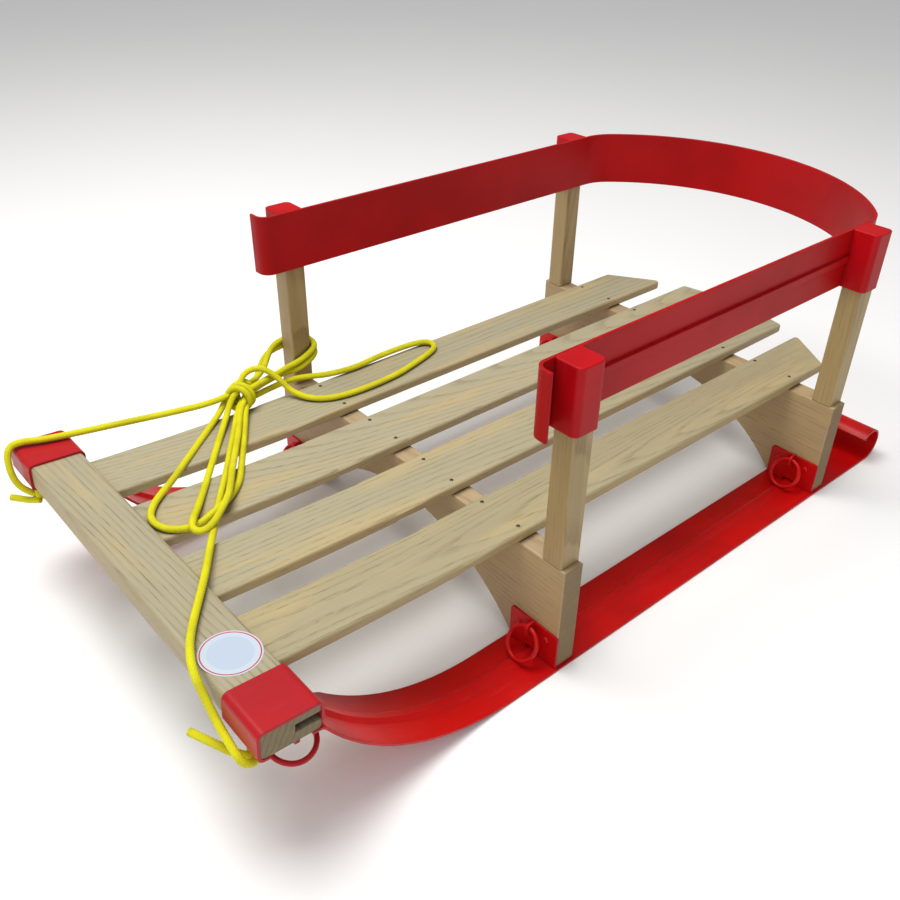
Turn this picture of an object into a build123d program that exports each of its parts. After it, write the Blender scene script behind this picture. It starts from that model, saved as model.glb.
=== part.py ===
from build123d import *
import math
import os

# A small wooden sled on two steel runners, for pulling a young child over snow.
# Millimetres. +X is the direction of travel, +Y is the left side and +Z is up.
# Every length along X is first measured from the front face of the front bunk.
# The finished pieces are then moved so that the middle of the sled is over the origin.

# Wood sizes
STOCK = 19.0  # thickness of the boards of the bunks, posts and crossbar
BUNK_SPACING = 349.5  # front face of the front bunk to front face of the rear bunk
BUNK_HALF = 182.5  # middle of the sled to the outer end of a bunk
BUNK_TOP = 95.0  # height of the bunk tops over the floor
ARCH_RISE = 60.0  # height of the arch under a bunk
ARCH_HALF = 131.0  # half width of the arch at the feet
WOOD_EASE = 1.8  # rounding of the sawn edges
POST_LEDGE = 4.5  # bunk left bare outside a post
TENON_D = 10.0
TENON_LONG = 20.0
SLAT_W = 51.0
SLAT_T = 9.0
SLAT_GAP = 23.4
SLAT_EASE = 2.5
SLAT_COUNT = 4
DECK_REAR = -456.0  # rearmost point of the deck's rounded rear outline
DECK_REAR_R = BUNK_HALF + 19.5  # radius of that outline
SLAT_CORNER = 4.0
BAR_W = 40.0
BAR_T = 19.0
BAR_HALF = 184.0
BAR_EASE = 3.0
BAR_X = 204.7  # lower rear edge of the crossbar
BAR_Z = 95.0
BAR_TILT = 3.67  # degrees, front edge up
GROOVE_LOW = 7.3  # lower side of the slot over the bar's underside
GROOVE_H = 6.3
GROOVE_DEEP = 17.4
TONGUE_LONG = 16.0

# Runner sizes
STRIP_T = 2.0
RUNNER_W = 52.0
RUNNER_OUT = 184.5  # outer edge of a runner
SWEEP_X = 40.0  # where the flat of the runner ends
SWEEP_R = 190.0  # radius of its rise to the crossbar
BEND_R = 6.0  # bend under the crossbar, at the middle of the strip
CURL_X = -446.0  # middle of the rolled rear end
CURL_R = 17.0
CURL_END = 40.0  # degrees over level at which the roll ends
SLEEVE_W = 39.0
SLEEVE_LIP = 5.0  # height over the bar's underside at which the sleeve ends at the rear
SLEEVE_INSET = 4.0  # the sleeve's underside stops short of the bar's end by this
BEAD_H = 2.4
BEAD_FOOT = 12.0
BEAD_CROWN = 5.0
BEAD_SETBACK = 12.0  # bead left off before the roll at the rear

# Leg brackets, lugs and rings
PLATE_T = 1.6
PLATE_W = 49.0
PLATE_TOP = 33.0
BEAD_CLEAR = 1.0  # room left over and beside the bead
WIRE = 3.5
RING_R = 15.2  # ring under the crossbar, to the middle of the wire
LEG_RING_R = 13.5  # ring of a leg
LUG_T = 2.5
LUG_TALL = 8.2
LUG_BORE = 4.3
LUG_EYE = 4.0  # end of a lug to the middle of its eye
LUG_EYE_H = 4.4  # foot of a lug to the middle of its eye
LUG_PLAY = 0.03  # left between a ring and the rim of its eye
LEG_LUG_LONG = 12.0
LEG_LUG_OVER = 1.0  # height of a leg's lug over its plate
BAR_LUG_LONG = 27.0
BAR_LUG_U = 13.3  # lug under the crossbar, from the bar's rear edge
BAR_LUG_Y = 153.0
BAR_RING_DROOP = 20.5  # degrees

# Rail and caps
RAIL_T = 2.5
RAIL_H = 50.0
RAIL_TOP = 257.4
CAP_FRONT = 3.5
CAP_REAR = 1.8
CAP_OUT = 3.0
CAP_ROOF = 3.0
CAP_ROUND = 5.0
RIB_H = 5.0
RIB_PROUD = 2.5
RIB_TIP = 2.0
HOOK_R = 8.75  # curl at each front end of the rail, at the middle of its wall
HOOK_START = 11.5
HOOK_TAIL = 6.5
BOW_R = 187.25  # big arc behind the seat, at the middle of the wall
BOW_CENTRE = -284.5
BOW_CORNER_R = 41.25

# Rope
ROPE_D = 5.5

# Sizes that follow from the ones above
POST_OUT = BUNK_HALF - POST_LEDGE
POST_IN = POST_OUT - STOCK
RUNNER_MID = RUNNER_OUT - RUNNER_W / 2
BUNK_FOOT = STRIP_T + PLATE_T
SLAT_TOP = BUNK_TOP + SLAT_T
BUNK_FACES = {"front": 0.0, "rear": -BUNK_SPACING}
SIDES = {"left": 1, "right": -1}
TILT = math.radians(BAR_TILT)
BAR_PLANE = Plane(
    origin=(BAR_X, 0, BAR_Z),
    x_dir=(math.cos(TILT), 0, math.sin(TILT)),
    z_dir=(-math.sin(TILT), 0, math.cos(TILT)),
)


def at_bar(u, v, y=0.0):
    """World point from the bar's own width and height."""
    return BAR_PLANE.from_local_coords((u, y, v))


def block(x0, x1, y0, y1, z0, z1):
    """A box between two corners."""
    return Pos((x0 + x1) / 2, (y0 + y1) / 2, (z0 + z1) / 2) * Box(
        abs(x1 - x0), abs(y1 - y0), abs(z1 - z0)
    )


def mirrored(shape, side):
    """The left piece, or its mirror image for the right side."""
    return shape if side > 0 else mirror(shape, about=Plane.XZ)


def outlined(parts):
    """A flat face inside the lines and arcs given in order."""
    return make_face(Wire([edge for part in parts for edge in part.edges()]))


def eased(shape, edges, radius):
    """The shape with these edges rounded."""
    return fillet(edges, radius) if edges else shape


# Bunks
def make_bunk(x_face):
    """A board on edge with an arched underside and a foot on each runner."""
    arch_r = (ARCH_HALF**2 + ARCH_RISE**2) / (2 * ARCH_RISE)
    board = block(
        x_face - STOCK, x_face, -BUNK_HALF, BUNK_HALF, BUNK_FOOT, BUNK_TOP
    )
    arch = Pos(x_face - STOCK / 2, 0, BUNK_FOOT + ARCH_RISE - arch_r) * Rot(
        0, 90, 0
    ) * Cylinder(arch_r, STOCK * 2)
    board = board - arch
    board = eased(
        board, board.faces().filter_by(Axis.X).edges(), WOOD_EASE
    )
    for side in SIDES.values():
        board -= block(
            x_face - STOCK * 2,
            x_face + STOCK,
            side * RUNNER_MID - BEAD_FOOT / 2 - BEAD_CLEAR,
            side * RUNNER_MID + BEAD_FOOT / 2 + BEAD_CLEAR,
            0,
            STRIP_T + BEAD_H + BEAD_CLEAR,
        )
        board -= Pos(
            x_face - STOCK / 2, side * (POST_IN + STOCK / 2), BUNK_TOP - TENON_LONG / 2
        ) * Cylinder(TENON_D / 2, TENON_LONG)
    return board


# Posts
def make_post(x_face):
    """A left post with the round tenon that stands in the bunk."""
    post = block(
        x_face - STOCK, x_face, POST_IN, POST_OUT, BUNK_TOP, RAIL_TOP - CAP_ROOF
    )
    post = eased(post, post.edges().filter_by(Axis.Z), WOOD_EASE)
    return post + Pos(
        x_face - STOCK / 2, POST_IN + STOCK / 2, BUNK_TOP - TENON_LONG / 2
    ) * Cylinder(TENON_D / 2, TENON_LONG)


# Crossbar
def make_crossbar():
    """The front bar with the slot in its rear edge that holds the slats."""
    bar = Pos(BAR_W / 2, 0, BAR_T / 2) * Box(BAR_W, 2 * BAR_HALF, BAR_T)
    bar = fillet(bar.edges().filter_by(Axis.Y), BAR_EASE)
    bar -= Pos(GROOVE_DEEP / 2, 0, GROOVE_LOW + GROOVE_H / 2) * Box(
        GROOVE_DEEP, 2 * BAR_HALF + 2, GROOVE_H
    )
    return BAR_PLANE * bar


# Slats
def deck_rear(y):
    """Rear outline of the deck at a distance from its middle."""
    return DECK_REAR + DECK_REAR_R - math.sqrt(DECK_REAR_R**2 - y**2)


def make_slat(y0, y1):
    """A slat: flat over the bunks, bent up to the bar and tongued into its slot."""
    groove_mid = GROOVE_LOW + GROOVE_H / 2
    end = at_bar(0, groove_mid)
    rise = end.Z - (BUNK_TOP + SLAT_T / 2)
    bend_r = rise / (1 - math.cos(TILT))
    start = end.X - bend_r * math.sin(TILT)
    centre_z = BUNK_TOP + SLAT_T / 2 + bend_r

    def on_arc(radius, angle):
        return (
            start + radius * math.sin(angle),
            0,
            centre_z - radius * math.cos(angle),
        )

    low, high = bend_r + SLAT_T / 2, bend_r - SLAT_T / 2
    rear = DECK_REAR - 1
    tongue = [
        at_bar(0, GROOVE_LOW),
        at_bar(TONGUE_LONG, GROOVE_LOW),
        at_bar(TONGUE_LONG, GROOVE_LOW + GROOVE_H),
        at_bar(0, GROOVE_LOW + GROOVE_H),
    ]
    outline = [
        Line((rear, 0, BUNK_TOP), (start, 0, BUNK_TOP)),
        ThreePointArc(on_arc(low, 0), on_arc(low, TILT / 2), on_arc(low, TILT)),
        Polyline(on_arc(low, TILT), *tongue, on_arc(high, TILT)),
        ThreePointArc(on_arc(high, TILT), on_arc(high, TILT / 2), on_arc(high, 0)),
        Polyline((start, 0, SLAT_TOP), (rear, 0, SLAT_TOP), (rear, 0, BUNK_TOP)),
    ]
    slat = extrude(outlined(outline), amount=y1 - y0, dir=(0, 1, 0))
    slat = Pos(0, y0, 0) * slat
    cut = extrude(
        make_face(
            Polyline(
                (deck_rear(y0), y0, 0),
                (deck_rear(y1), y1, 0),
                (DECK_REAR - 40, y1, 0),
                (DECK_REAR - 40, y0, 0),
                close=True,
            )
        ),
        amount=2 * SLAT_TOP,
    )
    slat -= cut
    rear_edge = max(deck_rear(y0), deck_rear(y1))
    corners = [
        e
        for e in slat.edges().filter_by(Axis.Z)
        if e.center().X < rear_edge + 1 and abs(e.length - SLAT_T) < 0.1
    ]
    slat = eased(slat, corners, SLAT_CORNER)
    long_edges = [
        e
        for e in slat.edges()
        if e.length > SLAT_W * 2 and abs(e.center().Z - BUNK_TOP) < 3 * SLAT_T
    ]
    return eased(slat, long_edges, SLAT_EASE)


# Runners
def bend_start():
    """Angle of the runner's rise at which the bend under the bar begins."""
    mid_r = SWEEP_R - STRIP_T / 2
    aim = at_bar(0, -STRIP_T / 2)
    low, high = math.radians(20), math.radians(85)
    for _ in range(60):
        angle = (low + high) / 2
        x = SWEEP_X + mid_r * math.sin(angle)
        x += BEND_R * (math.sin(angle) - math.sin(TILT))
        z = SWEEP_R - mid_r * math.cos(angle)
        z += BEND_R * (math.cos(TILT) - math.cos(angle))
        if z < aim.Z + (x - aim.X) * math.tan(TILT):
            low = angle
        else:
            high = angle
    return angle


def sweep_point(radius, angle):
    """A point on the runner's rise."""
    return (
        SWEEP_X + radius * math.sin(angle),
        0,
        SWEEP_R - radius * math.cos(angle),
    )


def strip_sector(centre, inner, outer, a0, a1, width):
    """Part of a bent strip, between two angles about an axis along Y."""

    def at(radius, angle):
        return (
            centre[0] + radius * math.cos(angle),
            0,
            centre[1] + radius * math.sin(angle),
        )

    mid = (a0 + a1) / 2
    outline = [
        ThreePointArc(at(outer, a0), at(outer, mid), at(outer, a1)),
        Line(at(outer, a1), at(inner, a1)),
        ThreePointArc(at(inner, a1), at(inner, mid), at(inner, a0)),
        Line(at(inner, a0), at(outer, a0)),
    ]
    return extrude(outlined(outline), amount=width / 2, dir=(0, 1, 0), both=True)


def beaded_section():
    """Cross-section of the runner strip with its pressed centre bead."""
    half, foot, crown = RUNNER_W / 2, BEAD_FOOT / 2, BEAD_CROWN / 2
    under = STRIP_T * 0.45
    return [
        (-half, 0),
        (-foot + under, 0),
        (-crown + under / 2, BEAD_H),
        (crown - under / 2, BEAD_H),
        (foot - under, 0),
        (half, 0),
        (half, STRIP_T),
        (foot, STRIP_T),
        (crown, STRIP_T + BEAD_H),
        (-crown, STRIP_T + BEAD_H),
        (-foot, STRIP_T),
        (-half, STRIP_T),
    ]


def make_runner():
    """A left runner: roll at the rear, flat, rise, and the sleeve round the bar."""
    end = bend_start()
    straight = block(
        CURL_X,
        CURL_X + BEAD_SETBACK,
        RUNNER_MID - RUNNER_W / 2,
        RUNNER_MID + RUNNER_W / 2,
        0,
        STRIP_T,
    )
    path = Wire(
        [
            Line((CURL_X + BEAD_SETBACK, RUNNER_MID, 0), (SWEEP_X, RUNNER_MID, 0)),
            ThreePointArc(
                (SWEEP_X, RUNNER_MID, 0),
                Vector(*sweep_point(SWEEP_R, end / 2)) + Vector(0, RUNNER_MID, 0),
                Vector(*sweep_point(SWEEP_R, end)) + Vector(0, RUNNER_MID, 0),
            ),
        ]
    )
    start = Plane(
        origin=(CURL_X + BEAD_SETBACK, RUNNER_MID, 0), x_dir=(0, 1, 0), z_dir=(1, 0, 0)
    )
    section = start * make_face(Polyline(*beaded_section(), close=True))
    body = sweep(section, path=path)
    roll = Pos(0, RUNNER_MID, 0) * strip_sector(
        (CURL_X, CURL_R),
        CURL_R - STRIP_T,
        CURL_R,
        -math.pi / 2,
        -2 * math.pi + math.radians(CURL_END),
        RUNNER_W,
    )
    mid = sweep_point(SWEEP_R - STRIP_T / 2, end)
    bend_centre = (
        mid[0] + BEND_R * math.sin(end),
        mid[2] - BEND_R * math.cos(end),
    )
    sleeve_y = RUNNER_OUT - SLEEVE_W / 2
    bend = Pos(0, sleeve_y, 0) * strip_sector(
        bend_centre,
        BEND_R - STRIP_T / 2,
        BEND_R + STRIP_T / 2,
        math.pi / 2 + end,
        math.pi / 2 + TILT,
        SLEEVE_W,
    )
    sleeve = Pos(BAR_W / 2, sleeve_y, BAR_T / 2) * Box(
        BAR_W + 2 * STRIP_T, SLEEVE_W, BAR_T + 2 * STRIP_T
    )
    sleeve = fillet(sleeve.edges().filter_by(Axis.Y), BAR_EASE + STRIP_T)
    wood = Pos(BAR_W / 2, sleeve_y, BAR_T / 2) * Box(BAR_W, SLEEVE_W * 2, BAR_T)
    wood = fillet(wood.edges().filter_by(Axis.Y), BAR_EASE)
    sleeve -= wood
    sleeve -= block(
        -2 * STRIP_T,
        BAR_EASE,
        sleeve_y - SLEEVE_W,
        sleeve_y + SLEEVE_W,
        -2 * STRIP_T,
        SLEEVE_LIP,
    )
    foot = block(
        0,
        BAR_EASE + 1,
        sleeve_y - SLEEVE_W / 2,
        sleeve_y + SLEEVE_W / 2,
        -STRIP_T,
        0,
    )
    inset = block(
        2 * BAR_EASE,
        BAR_W - 2 * BAR_EASE,
        RUNNER_OUT - SLEEVE_INSET,
        RUNNER_OUT + 1,
        -2 * STRIP_T,
        BAR_EASE,
    )
    runner = straight + body + roll + bend + BAR_PLANE * (sleeve + foot - inset)
    taper = extrude(
        make_face(
            Polyline(
                (BAR_X - 30, RUNNER_OUT - RUNNER_W - 1, 0),
                (BAR_X - 30, RUNNER_OUT - RUNNER_W, 0),
                (BAR_X - 4, RUNNER_OUT - SLEEVE_W, 0),
                (BAR_X + 2, RUNNER_OUT - SLEEVE_W, 0),
                (BAR_X + 2, RUNNER_OUT - RUNNER_W - 1, 0),
                close=True,
            )
        ),
        amount=BAR_Z,
    )
    return runner - taper


# Leg brackets
def make_bracket(x_face):
    """A left bracket: a plate on the front of the leg, a foot under it and the lug."""
    y0, y1 = RUNNER_MID - PLATE_W / 2, RUNNER_MID + PLATE_W / 2
    plate = block(x_face, x_face + PLATE_T, y0, y1, STRIP_T, PLATE_TOP)
    plate = fillet(
        [e for e in plate.edges().filter_by(Axis.X) if e.center().Z > PLATE_TOP / 2],
        2 * PLATE_T,
    )
    foot = block(x_face - STOCK, x_face, y0, y1, STRIP_T, BUNK_FOOT)
    bracket = plate + foot
    bracket -= block(
        x_face - 2 * STOCK,
        x_face + STOCK,
        RUNNER_MID - BEAD_FOOT / 2 - BEAD_CLEAR,
        RUNNER_MID + BEAD_FOOT / 2 + BEAD_CLEAR,
        0,
        STRIP_T + BEAD_H + BEAD_CLEAR,
    )
    place = Plane(
        origin=(x_face + PLATE_T, RUNNER_MID, PLATE_TOP + LEG_LUG_OVER),
        x_dir=(0, 0, -1),
        z_dir=(1, 0, 0),
    )
    return bracket + place * make_lug(LEG_LUG_LONG)


def make_lug(long):
    """An upright plate lying along X, with the eye that holds a ring near its start."""
    lug = Pos(long / 2, 0, LUG_TALL / 2) * Box(long, LUG_T, LUG_TALL)
    lug = fillet(
        [e for e in lug.edges().filter_by(Axis.Y) if e.center().Z > LUG_TALL / 2],
        LUG_TALL - LUG_EYE_H,
    )
    bore = Pos(LUG_EYE, 0, LUG_EYE_H) * Rot(90, 0, 0) * Cylinder(
        LUG_BORE / 2, LUG_T * 2
    )
    return lug - bore


def make_bar_lug():
    """The left lug under the crossbar's sleeve, with its eye on the inner side."""
    place = Plane(
        origin=at_bar(BAR_LUG_U, -STRIP_T, BAR_LUG_Y),
        x_dir=(0, 1, 0),
        z_dir=-BAR_PLANE.z_dir,
    )
    return place * make_lug(BAR_LUG_LONG)


def ring_drop(ring_r):
    """How far a ring's middle lies below its eye, with the wire on the eye's rim."""
    bow = ring_r - math.sqrt(ring_r**2 - (LUG_T / 2) ** 2)
    return ring_r + (LUG_BORE - WIRE) / 2 - bow - LUG_PLAY


def ring_in(eye, across, hang, ring_r):
    """A wire ring through an eye: across is the eye's direction, hang the way it hangs."""
    hang = Vector(*hang).normalized()
    centre = Vector(*eye) + hang * ring_drop(ring_r)
    normal = Vector(*across).cross(hang)
    return Plane(origin=centre, x_dir=hang, z_dir=normal) * Torus(ring_r, WIRE / 2)


def make_leg_ring(x_face):
    """A left ring that leans forward from its lug on to the runner's bead."""
    eye_z = PLATE_TOP + LEG_LUG_OVER - LUG_EYE
    rest_z = STRIP_T + BEAD_H + WIRE / 2
    lean = math.acos((eye_z - rest_z) / (LEG_RING_R + ring_drop(LEG_RING_R)))
    eye = (x_face + PLATE_T + LUG_EYE_H, RUNNER_MID, eye_z)
    hang = (math.sin(lean), 0, -math.cos(lean))
    return ring_in(eye, (0, 1, 0), hang, LEG_RING_R)


def make_bar_ring():
    """The left ring under the crossbar, which the rope is tied to."""
    eye = at_bar(BAR_LUG_U, -STRIP_T - LUG_EYE_H, BAR_LUG_Y + LUG_EYE)
    droop = math.radians(BAR_RING_DROOP)
    hang = (0, math.cos(droop), -math.sin(droop))
    return ring_in(tuple(eye), tuple(BAR_PLANE.x_dir), hang, RING_R)


# Post caps
def make_cap(x_face):
    """A left cap over a post's top, open towards the rail."""
    cap = block(
        x_face - STOCK - CAP_REAR,
        x_face + CAP_FRONT,
        POST_IN,
        POST_OUT + CAP_OUT,
        RAIL_TOP - RAIL_H,
        RAIL_TOP,
    )
    cap = fillet(
        [e for e in cap.edges().filter_by(Axis.Z) if e.center().Y > POST_OUT], CAP_ROUND
    )
    top = cap.faces().sort_by(Axis.Z)[-1]
    cap = fillet([e for e in top.edges() if e.center().Y > POST_IN + 0.1], 1.0)
    return cap - block(
        x_face - STOCK,
        x_face,
        POST_IN - 1,
        POST_OUT,
        RAIL_TOP - RAIL_H - 1,
        RAIL_TOP - CAP_ROOF,
    )


# Rail
def rail_run(offset):
    """Half of the rail's line in plan, set off from the middle of its wall."""
    y = POST_IN - RAIL_T / 2
    corner_y = y - BOW_CORNER_R
    reach = BOW_R - BOW_CORNER_R
    corner_x = BOW_CENTRE - math.sqrt(reach**2 - corner_y**2)
    aim = math.atan2(corner_y, corner_x - BOW_CENTRE)
    corner_r, bow_r, hook_r = BOW_CORNER_R + offset, BOW_R + offset, HOOK_R - offset
    turn = (aim + math.pi / 2) / 2
    far = (
        BOW_CENTRE + bow_r * math.cos(aim),
        bow_r * math.sin(aim),
    )
    half = math.sqrt(0.5)
    hook_y = y + HOOK_R
    tail = [
        Line(
            (HOOK_START + hook_r, hook_y + HOOK_TAIL),
            (HOOK_START + hook_r, hook_y),
        ),
        ThreePointArc(
            (HOOK_START + hook_r, hook_y),
            (HOOK_START + hook_r * half, hook_y - hook_r * half),
            (HOOK_START, hook_y - hook_r),
        ),
        Line((HOOK_START, y + offset), (corner_x, y + offset)),
        ThreePointArc(
            (corner_x, y + offset),
            (
                corner_x + corner_r * math.cos(turn),
                corner_y + corner_r * math.sin(turn),
            ),
            far,
        ),
        ThreePointArc(
            far,
            (
                BOW_CENTRE + bow_r * math.cos((aim + math.pi) / 2),
                bow_r * math.sin((aim + math.pi) / 2),
            ),
            (BOW_CENTRE - bow_r, 0),
        ),
    ]
    return tail


def rail_band(inner, outer, first, height):
    """The part of the rail between two offsets, from its given edge to the middle."""
    a, b = rail_run(inner)[first:], rail_run(outer)[first:]
    outline = [*a, Line(a[-1] @ 1, b[-1] @ 1), *reversed(b), Line(b[0] @ 0, a[0] @ 0)]
    half = extrude(outlined(outline), amount=height)
    return half + mirror(half, about=Plane.XZ)


def make_rail():
    """The rail: hooked front ends, straight sides and the bow behind the seat."""
    rail = Pos(0, 0, RAIL_TOP - RAIL_H) * rail_band(-RAIL_T / 2, RAIL_T / 2, 0, RAIL_H)
    rail = fillet(
        [e for e in rail.edges().filter_by(Axis.Z) if e.center().X > HOOK_START],
        RAIL_T / 2 - 0.1,
    )
    mid_z = RAIL_TOP - RAIL_H / 2
    rib = Pos(0, 0, mid_z - RIB_H / 2) * rail_band(
        RAIL_T / 2 - 0.5, RAIL_T / 2 + RIB_PROUD, 2, RIB_H
    )
    ribs = rib
    for x_face in BUNK_FACES.values():
        ribs -= block(
            x_face - STOCK - CAP_REAR,
            x_face + CAP_FRONT,
            -BUNK_HALF,
            BUNK_HALF,
            0,
            RAIL_TOP,
        )
    ribs -= block(CAP_FRONT, HOOK_START * 3, -BUNK_HALF, BUNK_HALF, 0, RAIL_TOP)
    return rail + ribs


# Rope
def corner_radii(points, wanted):
    """A radius for every turn, as large as the runs beside it allow."""
    radii = []
    for i in range(1, len(points) - 1):
        a, b, c = (Vector(*points[j]) for j in (i - 1, i, i + 1))
        before, after = (b - a), (c - b)
        turn = before.get_angle(after)
        fit = 0.45 * min(before.length, after.length) / math.tan(math.radians(turn / 2))
        radii.append(round(min(wanted, fit), 2))
    return radii


def make_tube(name, points, wanted=200.0):
    """A length of rope through hand-chosen points."""
    radii = corner_radii(points, wanted)
    path = FilletPolyline(*points, radius=radii)
    start = Plane(origin=path @ 0, z_dir=path % 0)
    tube = sweep(start * Circle(ROPE_D / 2), path=path)
    section = math.pi * ROPE_D**2 / 4
    print(
        name,
        "radii",
        radii,
        "length",
        round(path.length, 1),
        "volume share",
        round(tube.volume / (section * path.length), 3),
    )
    return tube


ROPE_POINTS = {
    "rope_lead_left": [
        (237.0, 166.5, 78.0),
        (244.5, 171.5, 82.0),
        (251.0, 172.0, 90.0),
        (251.0, 160.0, 95.5),
        (250.0, 145.5, 98.5),
        (249.0, 132.5, 106.0),
        (249.2, 121.5, 118.0),
        (243.5, 106.5, 121.5),
        (232.5, 88.0, 119.6),
        (206.0, 54.0, 118.0),
        (184.0, 23.5, 115.5),
        (169.0, 3.5, 113.5),
    ],
    "rope_lead_right": [
        (236.5, -164.5, 77.0),
        (245.0, -165.5, 83.5),
        (252.0, -167.0, 94.5),
        (253.0, -170.5, 109.5),
        (249.0, -175.5, 121.5),
        (239.5, -176.5, 123.2),
        (222.0, -171.5, 120.6),
        (196.0, -167.0, 119.0),
        (130.0, -152.8, 117.2),
        (76.0, -140.5, 116.6),
    ],
    "rope_loop": [
        (66.0, -142.0, 119.0),
        (62.5, -145.5, 129.5),
        (50.0, -149.5, 133.0),
        (38.0, -145.5, 131.5),
        (29.0, -137.0, 121.0),
        (22.5, -130.0, 109.5),
        (14.0, -112.0, 106.9),
        (-3.0, -100.5, 107.0),
        (-30.0, -97.0, 107.0),
        (-70.0, -98.5, 107.0),
        (-104.0, -107.5, 107.0),
        (-123.0, -113.5, 107.0),
        (-133.5, -119.5, 107.0),
        (-135.5, -129.0, 107.2),
        (-127.0, -135.0, 107.6),
        (-108.0, -136.5, 108.0),
        (-78.0, -136.5, 108.0),
        (-50.0, -133.5, 107.2),
        (-22.0, -137.0, 107.8),
        (-4.0, -146.5, 107.8),
        (10.0, -151.5, 107.4),
        (25.0, -150.3, 107.6),
        (41.0, -146.3, 108.8),
        (57.0, -141.5, 110.0),
    ],
    "rope_wrap_upper": [
        (58.0, -137.5, 121.5),
        (44.0, -142.0, 121.5),
        (30.0, -147.0, 120.2),
        (18.0, -152.5, 118.4),
        (8.0, -156.3, 118.0),
        (0.0, -155.0, 119.8),
        (-9.0, -154.9, 122.8),
        (-17.5, -154.4, 127.5),
        (-22.8, -157.5, 131.0),
        (-22.8, -170.0, 132.0),
        (-21.8, -181.8, 132.0),
        (-9.0, -182.0, 131.8),
        (2.5, -182.2, 130.5),
        (10.0, -181.5, 126.5),
        (17.0, -177.0, 121.5),
        (25.0, -169.0, 118.5),
        (36.0, -159.5, 118.2),
        (47.0, -152.0, 119.0),
        (58.0, -145.5, 120.0),
    ],
    "rope_wrap_lower": [
        (56.0, -141.5, 115.8),
        (43.0, -146.8, 115.8),
        (30.0, -152.3, 114.3),
        (18.0, -157.0, 112.6),
        (8.0, -158.3, 111.8),
        (0.0, -155.0, 113.4),
        (-9.0, -154.9, 115.8),
        (-17.5, -154.4, 120.5),
        (-22.8, -157.5, 124.5),
        (-22.8, -170.0, 126.0),
        (-21.8, -181.8, 126.0),
        (-9.0, -182.0, 125.8),
        (4.0, -184.0, 124.0),
        (13.0, -186.0, 119.5),
        (21.0, -182.0, 114.8),
        (29.5, -173.0, 112.5),
        (39.0, -162.5, 111.8),
        (49.0, -154.5, 112.2),
        (59.0, -148.5, 113.0),
    ],
    "rope_tail_left": [
        (240.0, 166.5, 80.5),
        (246.0, 160.0, 80.3),
        (253.0, 143.5, 80.5),
        (260.0, 126.0, 80.3),
    ],
    "rope_tail_right": [
        (239.5, -159.5, 76.8),
        (246.5, -167.5, 75.4),
        (256.0, -178.5, 76.4),
    ],
}
HITCH = (236.5, 165.0, 80.5)
HITCH_R = 6.5
KNOT = (66.5, -138.5, 115.8)
KNOT_R = 11.5
HANK_OUTLINE = [
    (82.0, -139.5),
    (139.0, -96.0),
    (188.0, -53.0),
    (199.0, -39.0),
    (200.0, -22.0),
    (192.0, -12.0),
    (167.0, -4.0),
    (149.0, -16.0),
    (121.0, -47.0),
    (94.5, -85.0),
    (71.5, -118.0),
    (66.5, -134.0),
]
HANK_T = 1.6 * ROPE_D


def slat_top(x):
    """Height of the slats' upper face."""
    end = at_bar(0, GROOVE_LOW + GROOVE_H / 2)
    rise = end.Z - (BUNK_TOP + SLAT_T / 2)
    bend_r = rise / (1 - math.cos(TILT))
    start = end.X - bend_r * math.sin(TILT)
    if x < start:
        return SLAT_TOP
    return SLAT_TOP + bend_r - math.sqrt(bend_r**2 - (x - start) ** 2)


def make_hank():
    """The bundle of rope loops that lies on the slats behind the crossbar."""
    x0 = min(p[0] for p in HANK_OUTLINE)
    x1 = max(p[0] for p in HANK_OUTLINE)
    slope = math.atan2(slat_top(x1) - slat_top(x0), x1 - x0)
    low = Plane(
        origin=(x0, 0, slat_top(x0) + 0.05),
        x_dir=(math.cos(slope), 0, math.sin(slope)),
        z_dir=(-math.sin(slope), 0, math.cos(slope)),
    )
    flat = make_face(Polyline(*[(x - x0, y) for x, y in HANK_OUTLINE], close=True))
    hank = extrude(flat, amount=HANK_T)
    hank = fillet(hank.edges().filter_by(Axis.Z), ROPE_D)
    hank = fillet(hank.faces().sort_by(Axis.Z)[-1].edges(), ROPE_D * 0.5)
    return low * hank


def make_rope():
    """Every length, knot and bundle of the pulling rope."""
    knot = Pos(*KNOT) * Sphere(KNOT_R)
    hank = make_hank() - knot
    hitch = Pos(*HITCH) * Sphere(HITCH_R) - make_bar_ring()
    pieces = {"rope_hank": hank, "rope_knot": knot}
    for name, side in SIDES.items():
        pieces[f"rope_hitch_{name}"] = mirrored(hitch, side)
    bundles = list(pieces.values())
    for name, points in ROPE_POINTS.items():
        tube = make_tube(name, points)
        for bundle in bundles:
            tube -= bundle
        pieces[name] = max(tube.solids(), key=lambda s: s.volume)
    return pieces


# Assembly
def make_pieces():
    """All pieces by node name."""
    pieces = {"crossbar": make_crossbar(), "rail": make_rail()}
    for end, x_face in BUNK_FACES.items():
        pieces[f"bunk_{end}"] = make_bunk(x_face)
    pitch = SLAT_W + SLAT_GAP
    first = -(SLAT_COUNT - 1) / 2 * pitch - SLAT_W / 2
    for i in range(SLAT_COUNT):
        y0 = first + i * pitch
        pieces[f"slat_{i + 1}"] = make_slat(y0, y0 + SLAT_W)
    for name, side in SIDES.items():
        pieces[f"runner_{name}"] = mirrored(make_runner(), side)
        pieces[f"bar_lug_{name}"] = mirrored(make_bar_lug(), side)
        pieces[f"bar_ring_{name}"] = mirrored(make_bar_ring(), side)
        for end, x_face in BUNK_FACES.items():
            pieces[f"post_{end}_{name}"] = mirrored(make_post(x_face), side)
            pieces[f"cap_{end}_{name}"] = mirrored(make_cap(x_face), side)
            pieces[f"bracket_{end}_{name}"] = mirrored(make_bracket(x_face), side)
            pieces[f"ring_{end}_{name}"] = mirrored(make_leg_ring(x_face), side)
    return pieces


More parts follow.
